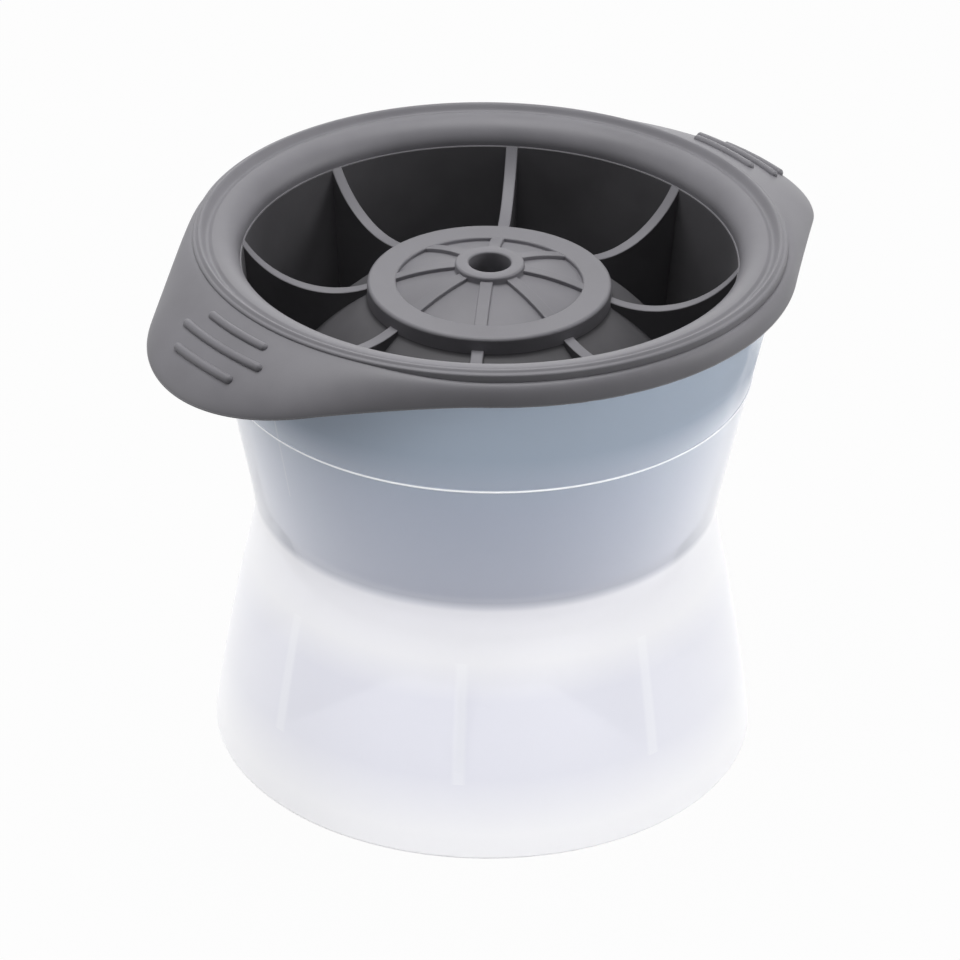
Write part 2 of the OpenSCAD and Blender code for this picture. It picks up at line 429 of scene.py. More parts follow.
@dataclass(frozen=True, kw_only=True)
class GrainedFinish:
    """What both finishes share: a Principled shader with moulded grain in its roughness and bump."""

    name: str
    roughness: Span
    grain_scale: float
    mottle_scale: float
    wave_share: float
    bump: float
    bump_depth: float
    mottle_range: Span = (0.3, 0.7)

    def grained(self) -> tuple[bpy.types.Material, bpy.types.Node, bpy.types.NodeSocket]:
        """Starts the material.

        Returns:
            The material, its Principled node and the mottling's socket.
        """
        material = bpy.data.materials.new(self.name)
        material.use_nodes = True
        tree = material.node_tree
        shader = tree.nodes["Principled BSDF"]
        grain = tree.nodes.new("ShaderNodeGroup")
        grain.node_tree = Grain().group()
        grain.inputs["Grain Scale"].default_value = self.grain_scale
        grain.inputs["Mottle Scale"].default_value = self.mottle_scale
        grain.inputs["Wave Share"].default_value = self.wave_share
        mottle = grain.outputs["Mottle"]
        tree.links.new(spread(tree, mottle, *self.roughness, *self.mottle_range), shader.inputs["Roughness"])
        bump = tree.nodes.new("ShaderNodeBump")
        bump.inputs["Strength"].default_value = self.bump
        bump.inputs["Distance"].default_value = self.bump_depth
        tree.links.new(grain.outputs["Height"], bump.inputs["Height"])
        tree.links.new(bump.outputs["Normal"], shader.inputs["Normal"])
        return material, shader, mottle


@dataclass(frozen=True, kw_only=True)
class SatinSilicone(GrainedFinish):
    """Mid-grey silicone with a fine satin grain."""

    name: str = "satin_silicone"
    dark: Colour = (0.220, 0.215, 0.234)
    light: Colour = (0.264, 0.258, 0.281)
    roughness: Span = (0.42, 0.54)
    grain_scale: float = 2600.0
    mottle_scale: float = 90.0
    wave_share: float = 0.3
    bump: float = 0.08
    bump_depth: float = 0.12 * MM
    specular: float = 0.4

    def material(self) -> bpy.types.Material:
        """Builds the finish and returns its material."""
        material, shader, mottle = self.grained()
        colours = tuple(zip(self.mottle_range, (self.dark, self.light)))
        colour = ramp(material.node_tree, mottle, colours)
        material.node_tree.links.new(colour, shader.inputs["Base Color"])
        shader.inputs["Specular IOR Level"].default_value = self.specular
        return material


@dataclass(frozen=True)
class Band:
    """Tint and haze of the plastic at one height, where the eye meets it squarely."""

    z: float
    tint: Colour
    haze: float


@dataclass(frozen=True, kw_only=True)
class MilkyPlastic(GrainedFinish):
    """Milky clear plastic, clearer in the cup and denser where the eye runs along the wall, where its tint is
    also painted paler as a sheen.

    The fill line, a mould seam and the webs' strips are drawn on it in denser plastic.
    """

    form: MouldForm
    name: str = "milky_plastic"
    # The cup's bluish tint is the plastic's own; its darkening from the bottom of the cup up towards the
    # flange is painted shade. Down the skirt the tint is paler at the foot and just below the waist than in
    # between.
    bands: tuple[Band, ...] = (
        Band(4.0 * MM, (0.88, 0.88, 0.905), 0.82),
        Band(13.0 * MM, (0.75, 0.755, 0.83), 0.78),
        Band(25.0 * MM, (0.75, 0.755, 0.83), 0.78),
        Band(31.0 * MM, (0.85, 0.85, 0.88), 0.8),
        Band(39.4 * MM, (0.83, 0.83, 0.885), 0.8),
        Band(41.0 * MM, (0.66, 0.695, 0.82), 0.35),
        Band(58.0 * MM, (0.59, 0.65, 0.79), 0.35),
        Band(68.0 * MM, (0.525, 0.62, 0.75), 0.355),
    )
    # Painted sheen: the paler tint where the eye runs along the wall.
    slant_painted_sheen: Colour = (0.955, 0.955, 0.97)
    slant_power: float = 2.0
    slant_z: Span = (62.0 * MM, 68.0 * MM)
    slant_top: float = 0.0
    haze_mottle: Span = (-0.015, 0.015)
    haze_range: Span = (0.1, 0.9)
    roughness: Span = (0.34, 0.44)
    grain_scale: float = 1500.0
    mottle_scale: float = 38.0
    wave_share: float = 0.2
    bump: float = 0.008
    bump_depth: float = 0.1 * MM
    line_tint: Colour = (0.93, 0.94, 0.96)
    line_haze: float = 0.85
    fill_half: Span = (0.13 * MM, 0.26 * MM)
    fill_r: float = 38.9 * MM
    seam_share: float = 0.6
    seam_half: float = 0.22 * MM
    seam_z: float = 52.0 * MM
    root_half: Span = (0.06, 0.12)
    root_z: Span = (12.0 * MM, 31.0 * MM)
    root_share: float = 0.3

    def marks(self, tree: bpy.types.NodeTree, place: bpy.types.Node) -> bpy.types.NodeSocket:
        """Draws the fill line, the mould seam on the -X side, and the strips where webs meet the skirt.

        Args:
            tree: The material's node tree.
            place: Node with the three coordinates on the object.

        Returns:
            A mask: 1 on the fill line, less on the seam and the strips, and 0 elsewhere.
        """
        across, along, height = (place.outputs[label] for label in "YXZ")
        off_line = calc(tree, "ABSOLUTE", calc(tree, "SUBTRACT", height, self.form.fill_z))
        line = spread(tree, off_line, 1.0, 0.0, *self.fill_half)
        across_2, along_2 = (calc(tree, "MULTIPLY", way, way) for way in (across, along))
        reach = calc(tree, "ADD", across_2, along_2)
        line = calc(tree, "MULTIPLY", line, calc(tree, "GREATER_THAN", reach, self.fill_r ** 2))
        seam = spread(tree, calc(tree, "ABSOLUTE", across), self.seam_share, 0.0, 0.0, self.seam_half)
        behind = calc(tree, "LESS_THAN", along, 0.0)
        above = calc(tree, "GREATER_THAN", height, self.seam_z)
        seam = calc(tree, "MULTIPLY", seam, calc(tree, "MULTIPLY", behind, above))
        turn = calc(tree, "MULTIPLY", calc(tree, "ARCTAN2", across, along), 0.5 * self.form.web_n)
        off_web = calc(tree, "ABSOLUTE", calc(tree, "SINE", turn))
        root = spread(tree, off_web, self.root_share, 0.0, *self.root_half)
        root = calc(tree, "MULTIPLY", root, calc(tree, "GREATER_THAN", height, self.root_z[0]))
        root = calc(tree, "MULTIPLY", root, calc(tree, "LESS_THAN", height, self.root_z[1]))
        return calc(tree, "MAXIMUM", calc(tree, "MAXIMUM", line, seam), root)

    def material(self) -> bpy.types.Material:
        """Builds the finish and returns its material."""
        material, shader, mottle = self.grained()
        tree = material.node_tree
        top_z = self.form.rim_z
        coords = tree.nodes.new("ShaderNodeTexCoord")
        place = tree.nodes.new("ShaderNodeSeparateXYZ")
        tree.links.new(coords.outputs["Object"], place.inputs["Vector"])
        height = spread(tree, place.outputs["Z"], 0.0, 1.0, 0.0, top_z)
        marks = self.marks(tree, place)
        weight = tree.nodes.new("ShaderNodeLayerWeight")
        # Grows where the eye runs along the wall; it drives both the haze and the painted sheen.
        slant_haze_and_sheen = calc(tree, "POWER", weight.outputs["Facing"], self.slant_power)
        fade = spread(tree, place.outputs["Z"], 1.0, self.slant_top, *self.slant_z)
        slant_haze_and_sheen = calc(tree, "MULTIPLY", slant_haze_and_sheen, fade)
        # Tint by height, with painted shade darkening the cup towards the flange.
        tint = ramp(tree, height, tuple((b.z / top_z, b.tint) for b in self.bands))
        # Painted sheen: the tint turns paler where the eye runs along the wall, but not near the top of the
        # cup.
        tint = blend(tree, slant_haze_and_sheen, tint, self.slant_painted_sheen)
        tree.links.new(blend(tree, marks, tint, self.line_tint), shader.inputs["Base Color"])
        haze = ramp(tree, height, tuple((b.z / top_z, (b.haze,) * 3) for b in self.bands))
        haze = calc(tree, "ADD", haze, spread(tree, mottle, *self.haze_mottle, *self.haze_range))
        squarely, slanting = (calc(tree, "SUBTRACT", 1.0, share) for share in (haze, slant_haze_and_sheen))
        haze = calc(tree, "SUBTRACT", 1.0, calc(tree, "MULTIPLY", squarely, slanting))
        lines = calc(tree, "MULTIPLY", marks, self.line_haze)
        tree.links.new(calc(tree, "MAXIMUM", haze, lines), shader.inputs["Alpha"])
        return material


@dataclass
class ClearStand:
    """The stand: cup, bowl, waist, skirt and the webs under the bowl."""

    form: MouldForm
    finish: MilkyPlastic
    skirt_wall: float = 1.6 * MM
    bowl_wall: float = 1.8 * MM
    root_z: float = 32.0 * MM
    root_round: float = 0.8 * MM
    root_room: float = 1.6 * MM
    foot_round: float = 0.25 * MM
    foot_room: tuple[float, float] = (0.4 * MM, 1.2 * MM)
    edge: float = 0.4 * MM
    rim_round: float = 0.3 * MM
    rim_room: float = 1.0 * MM
    fill_bead: float = 0.28 * MM
    fill_round: float = 0.12 * MM
    web_t: float = 1.5 * MM
    web_z: float = 13.0 * MM
    bowl_steps: int = 40
    skirt_steps: int = 20
    outer_steps: tuple[int, int] = (60, 8)
    cup_steps: int = 24
    web_steps: tuple[int, int] = (24, 12)

    def build_shell(self) -> bpy.types.Object:
        """Spins the whole stand without its webs and returns it."""
        form = self.form
        outer_r = form.ball_r + self.bowl_wall
        inner_rim = form.angle_at_z(form.ball_r, form.parting_z)
        root_a = form.angle_at_z(outer_r, self.root_z)
        foot_r = form.stand_r(0)
        fill_z, rim_z, seat_z = form.fill_z, form.rim_z, form.parting_z
        below, above = fill_z - self.fill_bead, fill_z + self.fill_bead
        section = Section()
        section.along(form.ball(outer_r), math.pi, root_a, self.bowl_steps)
        section.to(form.stand_r(self.root_z) - self.skirt_wall, self.root_z, self.root_round)
        section.along(form.wall(self.skirt_wall), self.root_z - self.root_room, self.foot_room[0],
                      self.skirt_steps)
        section.to(foot_r - self.skirt_wall, 0, self.foot_round)
        section.to(foot_r, 0, self.edge)
        section.along(form.wall(0), self.foot_room[1], fill_z - 2 * self.fill_bead, self.outer_steps[0])
        section.to(form.stand_r(below), below)
        section.to(form.stand_r(fill_z) + self.fill_bead, fill_z, self.fill_round)
        section.to(form.stand_r(above), above)
        section.along(form.wall(0), fill_z + 2 * self.fill_bead, rim_z - self.rim_room, self.outer_steps[1])
        section.to(form.stand_r(rim_z), rim_z, self.edge)
        section.to(form.stand_r(rim_z) - form.cup_wall, rim_z, self.rim_round)
        section.along(form.wall(form.cup_wall), rim_z - self.rim_room, seat_z + form.seat_room,
                      self.cup_steps)
        section.to(form.stand_r(seat_z) - form.cup_wall, seat_z, form.seat_round)
        section.along(form.ball(form.ball_r), inner_rim, math.pi, self.bowl_steps)
        return section.spun("stand_shell", form.spin_steps)

    def build_webs(self) -> bpy.types.Object:
        """Builds the upright webs between the bowl and the skirt and returns them as one piece."""
        form = self.form
        outer_r = form.ball_r + self.bowl_wall
        section = Section()
        section.along(form.ball(outer_r), form.angle_at_z(outer_r, self.root_z),
                      form.angle_at_z(outer_r, self.web_z), self.web_steps[0])
        section.along(form.wall(self.skirt_wall), self.web_z, self.root_z, self.web_steps[1])
        bm = section.plate(self.web_t)
        repeat_round(bm, form.web_n)
        return piece_from(bm, "stand_webs")

    def assemble(self) -> list[bpy.types.Object]:
        """Builds and dresses the stand.

        Returns:
            The pieces that ride on the stand's body.
        """
        material = self.finish.material()
        pieces = [self.build_shell(), self.build_webs()]
        for piece in pieces:
            piece.data.materials.append(material)
            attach(piece, Body.STAND.value)
            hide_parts("clear_stand")
        return pieces


@dataclass
class PullFlange:
    """The flange round the lid's ring, drawn out into two drooping pull tabs with grip bars."""

    form: MouldForm
    ring_r: float
    ledge_z: float
    flange_over: float = 1.6 * MM
    flange_lift: float = 0.45 * MM
    ring_step: float = 1.2 * MM
    tab_step: float = 0.45 * MM
    tab_n: int = 2
    tab_reach: float = 11.7 * MM
    tip_r: float = 23.3 * MM
    tab_droop: float = 4.2 * MM
    droop_power: float = 1.45
    tab_power: float = 1.5
    flange_power: float = 2.4
    edge_power: float = 0.6
    lip_round: float = 0.2 * MM
    root_a: Span = (math.radians(24), math.radians(50))
    bite: float = 0.6 * MM
    bar_w: float = 1.3 * MM
    bar_h: float = 0.7 * MM
    bar_in: float = 2.95 * MM
    bar_pitch: float = 3.1 * MM
    bar_half: float = 6.6 * MM
    bar_half_mid: float = 9.0 * MM
    bar_segments: tuple[int, int] = (24, 12)
    bar_cuts: int = 7
    inside: float = -0.1
    across: int = 18
    lower: tuple[float, ...] = (0.97, 0.8, 0.5, 0.2)
    rim_share: float = 0.99
    around: int = 360
    lip_segments: int = 4
    sharp_deg: float = 60.0

    def __post_init__(self) -> None:
        """Works out the tabs' outline."""
        self.flange_r = self.ring_r + self.flange_over
        self.flange_z = self.form.rim_z + self.flange_lift
        self.tip_x = self.flange_r + self.tab_reach - self.tip_r
        self.flank_a = math.acos((self.flange_r - self.tip_r) / self.tip_x)
        self.tip_a = math.atan2(self.tip_r * math.sin(self.flank_a),
                                self.tip_x + self.tip_r * math.cos(self.flank_a))

    def off_tab(self, a: float) -> float:
        """Angle from a to the nearest tab's middle."""
        return abs((a + math.pi / 2) % math.pi - math.pi / 2)

    def rim_edge(self, a: float) -> float:
        """Radius of the flange's edge at angle a."""
        p = self.off_tab(a)
        if p >= self.flank_a:
            return self.flange_r
        if p > self.tip_a:
            return self.flange_r / math.cos(self.flank_a - p)
        return self.tip_x * math.cos(p) + math.sqrt(self.tip_r ** 2 - (self.tip_x * math.sin(p)) ** 2)

    def droop(self, x: float) -> float:
        """How far the flange hangs down at a distance x along the tabs."""
        start = self.flange_r * math.cos(self.flank_a)
        t = (abs(x) - start) / (self.tip_x + self.tip_r - start)
        return self.tab_droop * t ** self.droop_power if t > 0 else 0.0

    def past_tab(self, a: float) -> float:
        """Share of the way from a tab to the flange between the tabs, at angle a."""
        t = min(1.0, max(0.0, (self.off_tab(a) - self.root_a[0]) / (self.root_a[1] - self.root_a[0])))
        return t * t * (3 - 2 * t)

    def top(self, a: float, u: float) -> float:
        """Height of the flange's top at a share u of the way from the ring's wall to the edge."""
        r = self.ring_r + (self.rim_edge(a) - self.ring_r) * u
        past = self.past_tab(a)
        root = self.ledge_z - self.tab_step - (self.ring_step - self.tab_step) * past
        rise = root - self.flange_z + self.droop(self.ring_r * math.cos(a))
        power = self.tab_power + (self.flange_power - self.tab_power) * past
        fall = max(0.0, 1 - u ** power) ** self.edge_power
        return self.flange_z - self.droop(r * math.cos(a)) + rise * fall

    def build_flange(self) -> bpy.types.Object:
        """Spins a plain band, bends it to the tabs' form and returns it, with slot 1, a painted highlight, on
        its thin lip.
        """
        band = Section()
        band.to(1 + self.inside, 0).to(1 + self.inside, 1)
        for i in range(self.across + 1):
            u = 1 - (1 - i / self.across) ** 2
            band.to(1 + u, 1)
        for u in self.lower:
            band.to(1 + u, 0)
        bm = band.turned(self.around, NEAR)
        rim = {v for v in bm.verts if math.hypot(v.co.x, v.co.y) > 1 + self.rim_share}
        for vert in bm.verts:
            a = math.atan2(vert.co.y, vert.co.x)
            u = math.hypot(vert.co.x, vert.co.y) - 1
            edge = self.rim_edge(a)
            upper = vert.co.z > 0.5
            if u < self.inside / 2:
                r, z = self.ring_r - self.bite, self.top(a, 0) if upper else self.flange_z
            else:
                share = min(u, 1.0)
                r = self.ring_r + (edge - self.ring_r) * share
                low = self.flange_z - self.droop(edge * math.cos(a)) * share
                z = self.top(a, share) if upper else low
            vert.co = (r * math.cos(a), r * math.sin(a), z)
        bmesh.ops.recalc_face_normals(bm, faces=bm.faces[:])
        lip = [e for e in bm.edges if all(v in rim for v in e.verts)]
        # The thin lip's rounding takes slot 1, paler silicone that paints a highlight along the edge.
        for face in round_off(bm, lip, self.lip_round, self.lip_segments):
            face.material_index = 1
        return piece_from(bm, "lid_flange", self.sharp_deg)

    def grip_bar(self, r: float, half: float) -> bpy.types.Mesh:
        """Makes one grip bar: a ball drawn out along an arc and set on top of the tab.

        Args:
            r: Radius of the arc about the lid's axis.
            half: Half length of the bar.

        Returns:
            The bar's mesh, in place on the tab at +X.
        """
        u = (r - self.ring_r) / (self.rim_edge(0) - self.ring_r)
        base = self.top(0, u)
        stretch = half - self.bar_w / 2
        bm = bmesh.new()
        around, along = self.bar_segments
        bmesh.ops.create_uvsphere(bm, u_segments=around, v_segments=along, radius=self.bar_w / 2,
                                  matrix=Matrix.Rotation(math.pi / 2, 4, "X"))
        for vert in bm.verts:
            if abs(vert.co.y) > MERGE:
                vert.co.y += math.copysign(stretch, vert.co.y)
        long = [e for e in bm.edges if e.calc_length() > stretch / 2]
        bmesh.ops.subdivide_edges(bm, edges=long, cuts=self.bar_cuts)
        for vert in bm.verts:
            a = vert.co.y / r
            reach = r + vert.co.x
            z = base + vert.co.z * self.bar_h / (self.bar_w / 2)
            vert.co = (reach * math.cos(a), reach * math.sin(a), z)
        mesh = bpy.data.meshes.new("grip_bar")
        bm.to_mesh(mesh)
        bm.free()
        return mesh

    def build_bars(self) -> bpy.types.Object:
        """Builds the grip bars of both tabs and returns them as one piece."""
        bm = bmesh.new()
        for i, half in enumerate((self.bar_half, self.bar_half_mid, self.bar_half)):
            bar = self.grip_bar(self.ring_r + self.bar_in + i * self.bar_pitch, half)
            bm.from_mesh(bar)
            bpy.data.meshes.remove(bar)
        bmesh.ops.recalc_face_normals(bm, faces=bm.faces[:])
        repeat_round(bm, self.tab_n)
        return piece_from(bm, "lid_grip_bars")


@dataclass
class SiliconeLid:
    """The lid: ring, plug, dome, hub, boss, ribs, spokes and flange."""

    form: MouldForm
    finish: SatinSilicone
    # Darker silicone for the pockets: painted shade in the deep pockets.
    pocket_painted_shade: SatinSilicone
    plug_finish: SatinSilicone
    # Paler silicone on the flange's thin lip: a painted highlight.
    lip_painted_highlight: SatinSilicone
    fit_gap: float = 0.3 * MM
    dome_wall: float = 2.7 * MM
    pocket_h: float = 25.7 * MM
    pocket_draft: float = math.radians(5.3)
    ring_w: float = 7.25 * MM
    ring_over: float = 1.05 * MM
    ring_h: float = 5.15 * MM
    lip_h: float = 0.6 * MM
    lip_w: float = 0.25 * MM
    lip_rounds: tuple[float, float] = (0.08 * MM, 0.12 * MM)
    crest_w: float = 4.2 * MM
    crown_drop: float = 0.8 * MM
    valley_in: float = 2.3 * MM
    valley_drop: float = 1.0 * MM
    bead_in: float = 1.0 * MM
    ledge_drop: float = 0.35 * MM
    edge_r: float = 0.3 * MM
    edge_room: float = 1.5
    floor_round: float = 0.7 * MM
    rib_t: float = 1.85 * MM
    rib_sag: float = 3.55 * MM
    rib_step: float = 2.0 * MM
    rib_round: float = 0.28 * MM
    hub_r: float = 18.2 * MM
    hub_w: float = 4.3 * MM
    hub_h: float = 2.95 * MM
    hub_rounds: tuple[float, ...] = (0.4 * MM, 0.55 * MM, 0.3 * MM, 0.15 * MM)
    hub_room: tuple[float, float] = (0.5 * MM, 0.4 * MM)
    spoke_w: float = 1.9 * MM
    spoke_h: float = 0.6 * MM
    spoke_round: float = 0.16 * MM
    boss_r: float = 5.2 * MM
    boss_h: float = 0.9 * MM
    boss_rounds: tuple[float, float] = (0.2 * MM, 0.4 * MM)
    boss_room: float = 0.4 * MM
    vent_r: float = 3.15 * MM
    vent_round: float = 0.3 * MM
    bite: float = 0.6 * MM
    upright_z: float = 0.3
    crown_steps: tuple[int, ...] = (8, 12, 8, 20)
    dome_steps: tuple[int, ...] = (48, 24, 16)
    plug_steps: int = 24
    rib_steps: tuple[int, int] = (16, 28)
    spoke_steps: int = 14
    bevel_segments: int = 3

    def __post_init__(self) -> None:
        """Works out the sizes that follow from the others."""
        form = self.form
        self.dome_r = form.ball_r + self.dome_wall
        self.lip_z = form.rim_z + self.lip_h
        self.bead_z = form.rim_z + self.ring_h
        self.ledge_z = self.bead_z - self.ledge_drop
        self.ring_r = form.stand_r(form.rim_z) + self.ring_over
        self.lip_r = self.ring_r - self.ring_w
        self.floor_z = self.lip_z - self.pocket_h
        self.hub_z = self.dome_z(self.hub_r) + self.hub_h
        self.boss_z = form.ball_z + self.dome_r + self.boss_h

    def dome_z(self, r: float) -> float:
        """Height of the dome's outside at radius r."""
        return self.form.ball_z + math.sqrt(self.dome_r ** 2 - r ** 2)

    def pocket_r(self, z: float) -> float:
        """Radius of the pocket wall at height z."""
        return self.lip_r - math.tan(self.pocket_draft) * (self.lip_z - z)

    def crown(self, section: Section) -> None:
        """Draws the ring from its outer wall over the ledge, the bead, the valley and the crest to the lip.

        Args:
            section: The section that takes the points.
        """
        ledge = (self.ring_r - self.edge_room * self.edge_r, self.ledge_z)
        bead = (self.ring_r - self.bead_in, self.bead_z)
        valley = (self.ring_r - self.valley_in, self.bead_z - self.valley_drop)
        crest = (self.lip_r + self.crest_w, self.bead_z - self.crown_drop)
        foot_z = self.lip_z + self.lip_w
        section.to(self.ring_r, self.ledge_z, self.edge_r)
        way = (ledge, bead, valley, crest)
        for start, end, steps in zip(way, way[1:], self.crown_steps):
            section.ease(start, end, steps)
        half_w, half_h = self.crest_w - self.lip_w, crest[1] - foot_z
        section.along(lambda t: (crest[0] + half_w * math.cos(t), foot_z + half_h * math.sin(t)),
                      math.pi / 2, math.pi, self.crown_steps[-1])
        section.to(self.lip_r + self.lip_w, self.lip_z, self.lip_rounds[0])
        section.to(self.lip_r, self.lip_z, self.lip_rounds[1])

    def build_shell(self) -> bpy.types.Object:
        """Spins the plug, ring, dome, hub and boss and returns them as one piece."""
        form = self.form
        inset = form.cup_wall + self.fit_gap
        hub_in = self.hub_r - self.hub_w
        section = Section()
        section.along(form.ball(form.ball_r), form.angle_at_r(form.ball_r, self.vent_r),
                      form.angle_at_z(form.ball_r, form.parting_z), self.dome_steps[0])
        section.to(form.stand_r(form.parting_z) - inset, form.parting_z, form.seat_round)
        section.along(form.wall(inset), form.parting_z + form.seat_room, form.rim_z, self.plug_steps)
        section.to(self.ring_r, form.rim_z)
        self.crown(section)
        section.to(self.pocket_r(self.floor_z), self.floor_z, self.floor_round)
        section.along(form.ball(self.dome_r), form.angle_at_z(self.dome_r, self.floor_z),
                      form.angle_at_r(self.dome_r, self.hub_r + self.hub_room[0]), self.dome_steps[1])
        section.to(self.hub_r, self.dome_z(self.hub_r), self.hub_rounds[0])
        section.to(self.hub_r, self.hub_z, self.hub_rounds[1])
        section.to(hub_in, self.hub_z, self.hub_rounds[2])
        section.to(hub_in, self.dome_z(hub_in), self.hub_rounds[3])
        section.along(form.ball(self.dome_r), form.angle_at_r(self.dome_r, hub_in - self.hub_room[1]),
                      form.angle_at_r(self.dome_r, self.boss_r + self.boss_room), self.dome_steps[2])
        section.to(self.boss_r, self.dome_z(self.boss_r), self.boss_rounds[0])
        section.to(self.boss_r, self.boss_z, self.boss_rounds[1])
        section.to(self.vent_r, self.boss_z, self.vent_round)
        return section.spun("lid_shell", form.spin_steps)

    def build_ribs(self) -> bpy.types.Object:
        """Builds the curved ribs from the hub to the pocket wall and returns them as one piece."""
        form = self.form
        inner = Vector((self.hub_r, self.hub_z - self.rib_step))
        outer = Vector((self.lip_r, self.lip_z))
        half = (outer - inner).length / 2
        sweep_r = (half ** 2 + self.rib_sag ** 2) / (2 * self.rib_sag)
        lengthwise = (outer - inner).normalized()
        middle = (inner + outer) / 2 + (sweep_r - self.rib_sag) * Vector((-lengthwise.y, lengthwise.x))
        start = math.atan2(outer.y - middle.y, outer.x - middle.x)
        end = math.atan2(inner.y - middle.y, inner.x - middle.x)
        if end > start:
            end -= 2 * math.pi
        sunk_r = self.dome_r - self.bite
        low = self.floor_z - self.bite
        section = Section()
        section.along(form.ball(sunk_r), form.angle_at_r(sunk_r, self.hub_r - self.bite),
                      form.angle_at_z(sunk_r, low), self.rib_steps[0])
        section.to(self.pocket_r(low) + self.bite, low)
        section.to(self.lip_r + self.bite, self.lip_z)
        section.along(lambda t: (middle.x + sweep_r * math.cos(t), middle.y + sweep_r * math.sin(t)),
                      start, end, self.rib_steps[1])
        section.to(self.hub_r - self.bite, inner.y)
        bm = section.plate(self.rib_t)
        top = [e for e in bm.edges if self.on_top(e, middle, sweep_r)]
        round_off(bm, top, self.rib_round, self.bevel_segments)
        repeat_round(bm, form.rib_n)
        return piece_from(bm, "lid_ribs")

    def on_top(self, edge: bmesh.types.BMEdge, middle: Vector, sweep_r: float) -> bool:
        """Tells whether an edge runs lengthwise on a rib's or a spoke's top, which is an arc about middle."""
        flat = abs(edge.verts[0].co.y - edge.verts[1].co.y) < MERGE
        return flat and all(
            abs((Vector((v.co.x, v.co.z)) - middle).length - sweep_r) < NEAR for v in edge.verts)

    def build_spokes(self) -> bpy.types.Object:
        """Bends flat bars over the dome between boss and hub and returns them as one piece."""
        form = self.form
        start = form.angle_at_r(self.dome_r, self.boss_r - self.bite)
        end = form.angle_at_r(self.dome_r, self.hub_r - self.hub_w + self.bite)
        bm = bmesh.new()
        low, high = self.dome_r - self.bite, self.dome_r + self.spoke_h
        verts = [bm.verts.new((reach * math.sin(start), side * self.spoke_w / 2,
                               form.ball_z + reach * math.cos(start)))
                 for reach, side in ((low, -1), (low, 1), (high, 1), (high, -1))]
        bm.faces.new(verts)
        bmesh.ops.spin(bm, geom=bm.verts[:] + bm.edges[:] + bm.faces[:], cent=(0, 0, form.ball_z),
                       axis=(0, 1, 0), dvec=(0, 0, 0), angle=end - start, steps=self.spoke_steps)
        bmesh.ops.recalc_face_normals(bm, faces=bm.faces[:])
        middle = Vector((0, form.ball_z))
        top = [e for e in bm.edges if self.on_top(e, middle, high)]
        round_off(bm, top, self.spoke_round, self.bevel_segments)
        repeat_round(bm, form.rib_n)
        return piece_from(bm, "lid_spokes")

    def zone(self, face: bpy.types.MeshPolygon, upright: bool) -> Zone:
        """Tells which finish a face has.

        Args:
            face: The face.
            upright: True where only upright faces count as pocket walls, as on the ribs.

        Returns:
            The pockets' darker silicone, which paints their shade, in a pocket, the plug's on its outside,
            and satin elsewhere.
        """
        r, z = math.hypot(face.center.x, face.center.y), face.center.z
        inside = self.hub_r - MERGE < r < self.pocket_r(z) + self.bite
        inside = inside and self.floor_z - self.bite < z < self.lip_z - MERGE
        under_hub = r > self.hub_r + self.bite or z < self.hub_z - self.bite
        outside_ball = math.hypot(r, z - self.form.ball_z) > self.dome_r - self.bite
        if inside and under_hub and outside_ball and (abs(face.normal.z) < self.upright_z or not upright):
            return Zone.POCKET_PAINTED_SHADE
        plug_r = self.form.stand_r(z) - self.form.cup_wall - self.fit_gap
        return Zone.PLUG if z < self.form.rim_z - MERGE and r > plug_r - self.bite else Zone.SATIN

    def assemble(self) -> list[bpy.types.Object]:
        """Builds and dresses the lid.

        Returns:
            The pieces that ride on the lid's body.
        """
        satin, lip = self.finish.material(), self.lip_painted_highlight.material()
        # Slots 1 and 2: the pockets' darker silicone, which paints shade, and the plug's silicone.
        inner = [self.pocket_painted_shade.material(), self.plug_finish.material()]
        parts = PullFlange(self.form, self.ring_r, self.ledge_z)
        shell, ribs, flange = self.build_shell(), self.build_ribs(), parts.build_flange()
        pieces = [shell, ribs, self.build_spokes(), flange, parts.build_bars()]
        for piece in pieces:
            piece.data.materials.append(satin)
        for piece in (shell, ribs):
            for material in inner:
                piece.data.materials.append(material)
            for face in piece.data.polygons:
                face.material_index = self.zone(face, piece is ribs).value
        # Slot 1 of the flange: paler silicone, a painted highlight on its lip.
        flange.data.materials.append(lip)
        for piece in pieces:
            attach(piece, Body.LID.value)
            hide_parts("silicone_lid")
        return pieces


@dataclass(frozen=True)
class Lamp:
    """A soft square lamp that looks at the mould."""

    name: str
    place: tuple[float, float, float]
    size: float
    power: float
    aim: tuple[float, float, float] = (0.0, 0.0, 0.05)
    stand_only: bool = False

    def hang(self, turn: Matrix, stand: list[bpy.types.Object]) -> None:
        """Hangs the lamp.

        Args:
            turn: Turns the place from the camera's side view into the object's frame.
            stand: The stand's pieces, which take all the light of a lamp that is for the stand only.
        """
        light = bpy.data.lights.new(self.name, "AREA")
        light.shape = "SQUARE"
        light.size = self.size
        light.energy = self.power
        obj = bpy.data.objects.new(self.name, light)
        obj.location = turn @ Vector(self.place)
        obj.rotation_euler = (Vector(self.aim) - obj.location).to_track_quat("-Z", "Y").to_euler()
        bpy.context.scene.collection.objects.link(obj)
        if self.stand_only:
            lit = bpy.data.collections.new(f"lit_by_{self.name}")
            for piece in stand:
                lit.objects.link(piece)
            obj.light_linking.receiver_collection = lit


